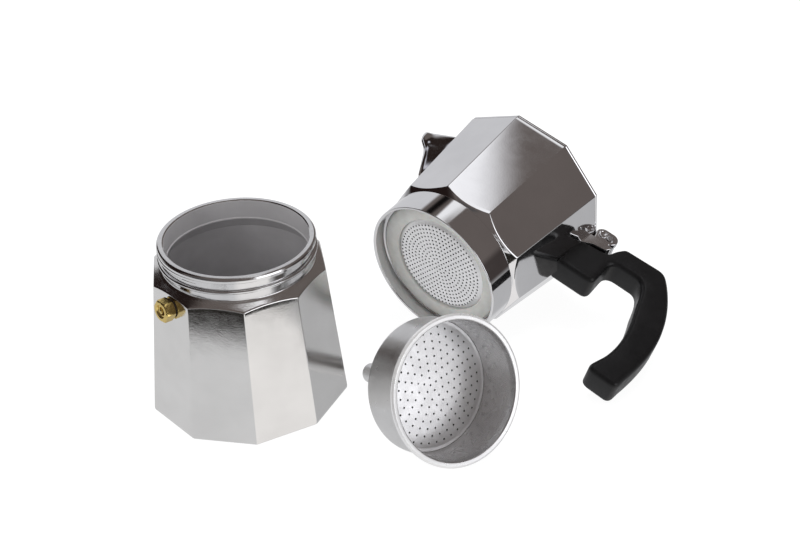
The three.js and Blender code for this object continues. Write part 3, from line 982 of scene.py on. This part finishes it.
# Height; distance and half width at the body; the same at the fold; distance of the keel
SPOUT_ROWS = [
    (54.0, 51.0, 0.4, 52.6, 0.2, 53.2), (58.0, 51.0, 1.6, 54.4, 0.6, 55.6),
    (64.0, 50.8, 4.0, 57.0, 1.2, 59.0), (70.0, 50.4, 6.4, 60.0, 1.8, 62.4),
    (75.0, 50.0, 8.4, 62.8, 2.1, 65.2), (78.5, 49.9, 9.8, 65.4, 2.1, 68.4),
    (81.5, 49.7, 11.0, 68.0, 2.2, 72.6), (85.0, 49.5, 12.4, 69.6, 2.5, 74.6),
    (88.0, 49.3, 13.6, 70.4, 2.8, 75.2), (89.6, 49.2, 14.2, 70.8, 3.0, 75.3),
]


def build_spout():
    """Pouring lip: a folded V that runs up the front corner and flares into a beak."""
    bm = bmesh.new()
    grid = []
    for z, root_x, root_w, fold_x, fold_w, keel in SPOUT_ROWS:
        half = []
        for t in (0.0, 0.25, 0.5, 0.75, 1.0):
            half.append((root_x + (fold_x - root_x) * t, root_w + (fold_w - root_w) * t))
        half.append(((fold_x + keel) / 2 + 0.5, fold_w * 0.72))
        half.append((keel - 0.35, fold_w * 0.36))
        line = [(x, w, z) for x, w in half] + [(keel, 0, z)]
        line += [(x, -w, z) for x, w in reversed(half)]
        grid.append(add_ring(bm, line))
    for lower, upper in zip(grid, grid[1:]):
        for k in range(len(lower) - 1):
            bm.faces.new((lower[k], lower[k + 1], upper[k + 1], upper[k]))
    piece = make_piece(
        "spout", bm, SPOUT_PLANE, ["mirror"], "collector", flat_angle=180,
    )
    solid = piece.modifiers.new("thickness", "SOLIDIFY")
    solid.thickness = SPOUT_WALL * MM
    solid.offset = -1.0
    smooth = piece.modifiers.new("smooth", "SUBSURF")
    smooth.levels = smooth.render_levels = 2


def arc(x, z, radius, start, end, steps):
    """Points round (x, z) from one angle in degrees to another."""
    angles = [math.radians(start + k * (end - start) / steps) for k in range(steps + 1)]
    return [(x + radius * math.cos(a), z + radius * math.sin(a)) for a in angles]


def build_hinge_lug():
    foot = rounded([
        (46, 74, 0), (52.5, 77.4, 1), (57, 80.2, 1.5), (65.5, 81.6, 1.2), (66.8, 84, 1),
        (66.8, 86, 0.5), (46, 86, 0),
    ], True)
    bm = bmesh.new()
    outline_solid(bm, foot, 2 * EAR_OUT)
    piece = make_piece(
        "hinge_foot", bm, HANDLE_PLANE, ["mirror"], "collector",
    )
    soften(piece, 0.8)
    ear = arc(PIN_X, PIN_Z, EAR_R, -70, 90, 16) + arc(BOSS_X, BOSS_Z, 4.7, 90, 210, 16)
    ear += [(54.4, 85), (64.2, 85)]
    for side, name in ((1, "hinge_ear_left"), (-1, "hinge_ear_right")):
        bm = bmesh.new()
        outline_solid(bm, ear, EAR_OUT - EAR_IN, side * (EAR_IN + EAR_OUT) / 2)
        piece = make_piece(
            name, bm, HANDLE_PLANE, ["mirror"], "collector",
        )
        soften(piece, 1.0)
        bm = bmesh.new()
        boss = [(3.1, 0, 0), (2.9, 0.9, 0.5), (2.0, 1.0, 0.3), (1.7, 0.6, 0.3), (0.2, 0.6, 0)]
        lathe(bm, rounded(boss), 32)
        where = Matrix.Translation((BOSS_X, side * (EAR_OUT - 0.1), BOSS_Z))
        place = HANDLE_PLANE @ where @ turn(-90 * side, "X")
        make_piece(name + "_boss", bm, place, ["mirror"], "collector")
    bm = bmesh.new()
    half = EAR_OUT + 0.7
    head = PIN_R + 0.9
    lathe(bm, rounded([
        (1.2, -half, 0), (head, -half, 0.4), (head, -half + 0.6, 0.2), (PIN_R, -half + 0.7, 0),
        (PIN_R, half - 0.7, 0), (head, half - 0.6, 0.2), (head, half, 0.4), (1.2, half, 0),
    ]), 32)
    place = HANDLE_PLANE @ Matrix.Translation((PIN_X, 0, PIN_Z)) @ turn(90, "X")
    make_piece("hinge_rivet", bm, place, ["steel"], "collector", ["hinge_pin"], 60)


def build_collar_fittings():
    bm = bmesh.new()
    lathe(bm, rounded([
        (29.9, 9.6, 0.1), (29.9, 8.0, 0.5), (30.5, 7.5, 0.5), (38.6, 7.5, 0.6), (39.9, 8.2, 0.4),
        (39.9, 11.9, 0.2), (32.9, 11.9, 0.1), (32.9, 9.6, 0.1),
    ], True), 128, True)
    make_piece(
        "gasket_ring", bm, COLLECTOR, ["silicone"], "collector", ["gasket"], 60,
    )

    def dish(r):
        """The plate bulges a little, and its rim steps back into the gasket."""
        if r >= 30:
            return -PLATE_RIM_Z
        ease = max(0.0, min(1.0, (r - PLATE_FLAT_R) / 1.6))
        step = (PLATE_RIM_Z - 7.75) * ease * ease * (3 - 2 * ease)
        return -(7.45 + 0.3 * (r / PLATE_FLAT_R) ** 2 + step)

    bm = bmesh.new()
    punched_disc(bm, PLATE_R, ring_of_holes(11, 6, 6, 2.44), PLATE_HOLE_R, dish, 0.3)
    make_piece(
        "perforated_plate", bm, COLLECTOR @ turn(180, "X"), ["plate"], "collector",
        ["filter_plate"], 50,
    )


def build_column():
    bm = bmesh.new()
    lathe(bm, rounded([
        (4.5, 17, 0), (7.4, 20.5, 0.8), (6.7, 30, 2), (5.6, 71, 1), (4.6, 74.2, 1),
        (2.5, 75.4, 0.5), (1, 75.5, 0),
    ]), 48)
    piece = make_piece(
        "riser_column", bm, COLLECTOR, ["satin"], "collector", ["coffee_column"],
        50,
    )
    port = bmesh.new()
    across = Matrix.Translation((0, 0, PORT_Z)) @ Matrix.Diagonal((16, 4.2, 5.6, 1))
    bmesh.ops.create_cube(port, size=1.0, matrix=across)
    cut_away(piece, port, COLLECTOR)


def bezier(a, b, c, d, steps=14):
    """Points along a cubic from a to d, without its first."""
    out = []
    for k in range(1, steps + 1):
        t = k / steps
        s = 1 - t
        out.append(tuple(
            a[i] * s**3 + 3 * b[i] * s * s * t + 3 * c[i] * s * t * t + d[i] * t**3 for i in (0, 1)
        ))
    return out


def handle_outline():
    points = rounded([(48.6, 55.0, 0), (73, 55.3, 4.8), (72.2, 78, 6.5), (89.5, 78, 0)], steps=8)
    points += bezier((89.5, 78), (96, 77.5), (98, 66), (100.4, 57.6))
    points += bezier((100.4, 57.6), (104.2, 47), (108.8, 32), (105.2, 16.6))
    points += rounded([(105.2, 16.6, 0), (101.0, 3, 5.6), (121, 3, 5.0), (121.6, 11, 0)], steps=8)[1:]
    points += bezier((121.6, 11), (123.6, 26), (124.2, 42), (119.8, 57))
    points += bezier((119.8, 57), (116.4, 70), (109.4, 82), (103.4, 89.4))
    points += bezier((103.4, 89.4), (100.6, 92.8), (98.6, 93.7), (94.6, 93.6), 8)
    points += rounded([
        (94.6, 93.6, 0), (73.2, 92.8, 4.6), (69.8, 87.4, 4.6), (67.6, 81.6, 3.6), (48.6, 78.8, 0),
    ], steps=6)[1:]
    return points


def build_handle():
    bm = bmesh.new()
    pillow_solid(bm, handle_outline(), HANDLE_THICK, HANDLE_ROUND)
    make_piece(
        "handle_grip", bm, HANDLE_PLANE, ["plastic"], "collector", ["handle"], 60,
    )
    place = HANDLE_PLANE @ Matrix.Translation((0, 0, SCREW_Z)) @ turn(90, "Y")
    bm = bmesh.new()
    screw = [(2, 56, 0), (2, 67.9, 0), (3.7, 67.9, 0.2), (3.7, 69.4, 0.8), (2.2, 70.3, 0)]
    lathe(bm, rounded(screw), 40)
    make_piece("grip_screw", bm, place, ["steel"], "collector", ["handle_screw"])
    bm = bmesh.new()
    lathe(bm, [(2.3, 67.3), (4.1, 67.3), (4.1, 67.7), (2.3, 67.7)], 40, True)
    make_piece("grip_washer", bm, place, ["steel"], "collector", ["handle_washer"])


# ---- Lid ----
def build_lid():
    edge = RIM_R - 0.2
    low = RIM_Z + 0.4
    rows = rounded([
        (2.2, low + 5.2, 0), (11, low + 5.0, 1), (edge - 10, low + 0.9, 1),
        (edge - 6, low + 0.05, 0.5), (edge - 0.3, low, 0.3), (edge, low + 0.7, 0.3),
        (edge - 0.1, low + 1.8, 0.5), (edge - 1.2, low + 2.2, 0.6), (edge - 7, low + 2.5, 2),
        (edge - 14, low + 3.4, 3), (14, low + 6.3, 3), (9.6, low + 6.8, 0.5), (2.2, low + 6.8, 0),
    ], True)
    bm = bmesh.new()
    rings = [decagon(r, z) if r > 12 else column_circle(r, z) for r, z in rows]
    loft(bm, rings, loop=True)
    piece = make_piece("lid_shell", bm, COLLECTOR, ["mirror"], "lid", ["lid"], 50)
    even_shading(piece)
    tab = [(46, low + 1.2), (54, low + 0.1), (58.6, PIN_Z - 2.0)]
    tab += arc(PIN_X, PIN_Z, 4.2, 208, 450, 14)
    tab += [(57, PIN_Z + 4.0), (46, low + 3.6)]
    bm = bmesh.new()
    outline_solid(bm, tab, 2 * (EAR_IN - 0.3))
    piece = make_piece("lid_tab", bm, HANDLE_PLANE, ["mirror"], "lid")
    soften(piece, 0.7)
    knob = [
        (2, 0, 0), (8.5, 0, 0.8), (8.3, 1.4, 0.8), (5.9, 4, 2), (5.6, 7.4, 3), (8.4, 12.5, 3),
        (9.7, 17, 3), (8.4, 20.6, 2.4), (3, 21.6, 1), (0.5, 21.6, 0),
    ]
    bm = bmesh.new()
    lathe(bm, rounded([(r, KNOB_FOOT + z, fillet) for r, z, fillet in knob], steps=7), 64)
    make_piece("knob_grip", bm, COLLECTOR, ["plastic"], "lid", ["lid_knob"], 50)
    bm = bmesh.new()
    screw = [(1.6, 99.4, 0), (1.6, 93.7, 0), (3.4, 93.6, 0.1), (3.4, 92.3, 0.7), (1.8, 91.6, 0)]
    lathe(bm, rounded(screw), 36)
    make_piece("knob_fixing", bm, COLLECTOR, ["steel"], "lid", ["knob_screw"])
    bm = bmesh.new()
    lathe(bm, [(2.1, 94.0), (5.0, 94.0), (5.0, 94.7), (2.1, 94.7)], 40, True)
    make_piece("knob_collar", bm, COLLECTOR, ["steel"], "lid", ["knob_washer"])


# ---- Studio ----
FLOOR_SIZE = 9.0
FLOOR_Z = -0.0002


def build_floor():
    """Pale paper that glows a little, so that it stays as white as the backdrop."""
    bm = bmesh.new()
    bmesh.ops.create_grid(bm, x_segments=2, y_segments=2, size=FLOOR_SIZE)
    mesh = to_mesh("studio_floor", bm)
    floor = add_object("studio_floor", mesh)
    floor.location.z = FLOOR_Z
    material, tree, shader = new_material("studio_paper", 0.0, 0.9)
    mottle(tree, shader, noise(tree, coordinates(tree), 3), (0.11, 0.11, 0.11), (0.13, 0.13, 0.13))
    shader.inputs["Emission Color"].default_value = (1, 1, 1, 1)
    shader.inputs["Emission Strength"].default_value = 0.93
    shader.inputs["Specular IOR Level"].default_value = 0.0
    mesh.materials.append(material)
    floor.visible_glossy = False


def math_node(tree, operation, *values):
    """A math node whose inputs are numbers or other nodes' outputs."""
    node = tree.nodes.new("ShaderNodeMath")
    node.operation = operation
    for i, value in enumerate(values):
        if isinstance(value, (int, float)):
            node.inputs[i].default_value = value
        else:
            link(tree, value, node.inputs[i])
    return node.outputs[0]


def window(tree, value, low, high, blur):
    """1 between low and high, falling to 0 over blur at each end."""
    rise = tree.nodes.new("ShaderNodeMapRange")
    fall = tree.nodes.new("ShaderNodeMapRange")
    for node, start, end in ((rise, low - blur, low + blur), (fall, high + blur, high - blur)):
        node.interpolation_type = "SMOOTHSTEP"
        node.inputs["From Min"].default_value = start
        node.inputs["From Max"].default_value = end
        link(tree, value, node.inputs["Value"])
    return math_node(tree, "MULTIPLY", rise.outputs["Result"], fall.outputs["Result"])


def layer(tree, below, mask, shade):
    """Lays the colour shade over the colours below, where mask is 1."""
    node = tree.nodes.new("ShaderNodeMix")
    node.data_type = "RGBA"
    link(tree, below, node.inputs["A"])
    node.inputs["B"].default_value = (*shade, 1)
    link(tree, mask, node.inputs["Factor"])
    return node.outputs["Result"]


def only_in_reflections(screen):
    screen.visible_camera = False
    screen.visible_diffuse = False
    screen.visible_shadow = False
    screen.visible_transmission = False


# Light and dark panels round the pot: bearing from and to, 0 straight behind the pot and 90 to
# its right; height angle from and to; blur of the edges; colour. A later panel covers earlier ones.
PANELS = [
    (-200, 200, -90, 4, 3.0, (0.70, 0.70, 0.71)),
    (106, 178, -90, -6, 9.0, (0.93, 0.91, 0.90)),
    (40, 92, -52, -6, 8.0, (0.50, 0.50, 0.51)),
    (60, 98, -14, 14, 5.0, (0.055, 0.045, 0.043)),
    (-110, -42, -4, 62, 6.0, (0.016, 0.010, 0.009)),
    (-42, 3, -15, 37, 2.5, (0.66, 0.66, 0.68)),
    (-50, -25, 38, 56, 1.5, (0.022, 0.015, 0.013)),
    (-56, -39.5, 36, 46, 1.5, (0.66, 0.66, 0.69)),
    (-36, -31.5, 43.5, 47, 1.2, (0.62, 0.62, 0.68)),
    (-8, 9, 43, 51, 2.5, (0.006, 0.005, 0.005)),
    (9, 40, 50, 61, 2.5, (0.98, 0.98, 1.0)),
    (113, 150, -4, 34, 4.0, (1.8, 1.8, 1.85)),
    (-150, -118, 4, 30, 5.0, (0.09, 0.085, 0.085)),
]
DARK_ROOM = (0.135, 0.115, 0.108)
# A light straight above: across from and to and along from and to, as shares of its height;
# blur; colour
SOFTBOX = (-0.06, 0.236, -0.02, 0.50, 0.034, (1.08, 1.08, 1.11))
# Dark cards on the floor in front: x from and to, y from and to
FLAGS = [(-0.42, -0.028, -0.75, -0.172), (0.152, 0.5, -0.75, -0.12)]
FLAG_Z = 0.0006


def build_reflections():
    """A wide dome of light panels and dark gaps that only polished surfaces see."""
    bm = bmesh.new()
    bmesh.ops.create_uvsphere(bm, u_segments=48, v_segments=24, radius=4.0)
    mesh = to_mesh("studio_panels", bm)
    dome = add_object("studio_panels", mesh)
    material = bpy.data.materials.new("studio_panels")
    material.use_nodes = True
    tree = material.node_tree
    tree.nodes.clear()
    output = tree.nodes.new("ShaderNodeOutputMaterial")
    glow = tree.nodes.new("ShaderNodeEmission")
    link(tree, glow.outputs[0], output.inputs["Surface"])
    place = tree.nodes.new("ShaderNodeTexCoord")
    unit = tree.nodes.new("ShaderNodeVectorMath")
    unit.operation = "NORMALIZE"
    link(tree, place.outputs["Object"], unit.inputs[0])
    parts = tree.nodes.new("ShaderNodeSeparateXYZ")
    link(tree, unit.outputs[0], parts.inputs[0])
    x, y, z = parts.outputs
    bearing = math_node(tree, "DEGREES", math_node(tree, "ARCTAN2", x, y))
    rise = math_node(tree, "DEGREES", math_node(tree, "ARCSINE", z))
    colour = tree.nodes.new("ShaderNodeRGB").outputs[0]
    colour.default_value = (*DARK_ROOM, 1)
    for b0, b1, e0, e1, blur, shade in PANELS:
        wide = window(tree, bearing, b0, b1, blur)
        tall = window(tree, rise, e0, e1, blur)
        colour = layer(tree, colour, math_node(tree, "MULTIPLY", wide, tall), shade)
    high = math_node(tree, "MAXIMUM", z, 0.05)
    across = math_node(tree, "DIVIDE", x, high)
    along = math_node(tree, "DIVIDE", y, high)
    x0, x1, y0, y1, blur, shade = SOFTBOX
    wide = window(tree, across, x0, x1, blur)
    deep = window(tree, along, y0, y1, blur)
    mask = math_node(tree, "MULTIPLY", wide, deep)
    overhead = math_node(tree, "GREATER_THAN", z, 0.3)
    colour = layer(tree, colour, math_node(tree, "MULTIPLY", mask, overhead), shade)
    link(tree, colour, glow.inputs["Color"])
    mesh.materials.append(material)
    only_in_reflections(dome)


def build_flags():
    """Dark cards lying in front of the pieces, seen only in their polished facets."""
    bm = bmesh.new()
    for x0, x1, y0, y1 in FLAGS:
        corners = ((x0, y0), (x1, y0), (x1, y1), (x0, y1))
        bm.faces.new([bm.verts.new((x, y, FLAG_Z)) for x, y in corners])
    mesh = to_mesh("studio_flag", bm)
    flag = add_object("studio_flag", mesh)
    material, tree, shader = new_material("studio_flag", 0.0, 0.9)
    grain = noise(tree, coordinates(tree), 8)
    mottle(tree, shader, grain, (0.01, 0.009, 0.008), (0.02, 0.018, 0.016))
    shader.inputs["Specular IOR Level"].default_value = 0.0
    mesh.materials.append(material)
    only_in_reflections(flag)


def area_light(name, where, aim, power):
    """A soft round lamp that leaves no spot of its own in polished surfaces."""
    data = bpy.data.lights.new(name, "AREA")
    data.shape = "DISK"
    data.size = 0.9
    data.energy = power
    lamp = add_object(name, data)
    lamp.location = where
    lamp.visible_glossy = False
    lamp.rotation_euler = (Vector(aim) - Vector(where)).to_track_quat("-Z", "Y").to_euler()


def build_studio():
    world = bpy.data.worlds.new("studio")
    bpy.context.scene.world = world
    world.use_nodes = True
    back = world.node_tree.nodes["Background"]
    back.inputs["Color"].default_value = (1, 1, 1, 1)
    back.inputs["Strength"].default_value = 0.85
    build_floor()
    build_reflections()
    build_flags()
    area_light("key_light", (0.25, 0.35, 1.3), (0.1, 0, 0), 14)
    area_light("fill_light", (-0.9, -0.9, 0.9), (0.05, 0, 0.03), 7)
    bpy.context.scene.view_settings.view_transform = "Standard"


make_camera()
MATERIALS = make_materials()
build_boiler()
build_valve()
build_funnel()
build_collector()
build_collar_fittings()
build_column()
build_handle()
build_lid()
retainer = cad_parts["valve_retainer"]  # keeps its CAD shape
retainer.data.materials.clear()
retainer.data.materials.append(MATERIALS["brass"])
build_studio()
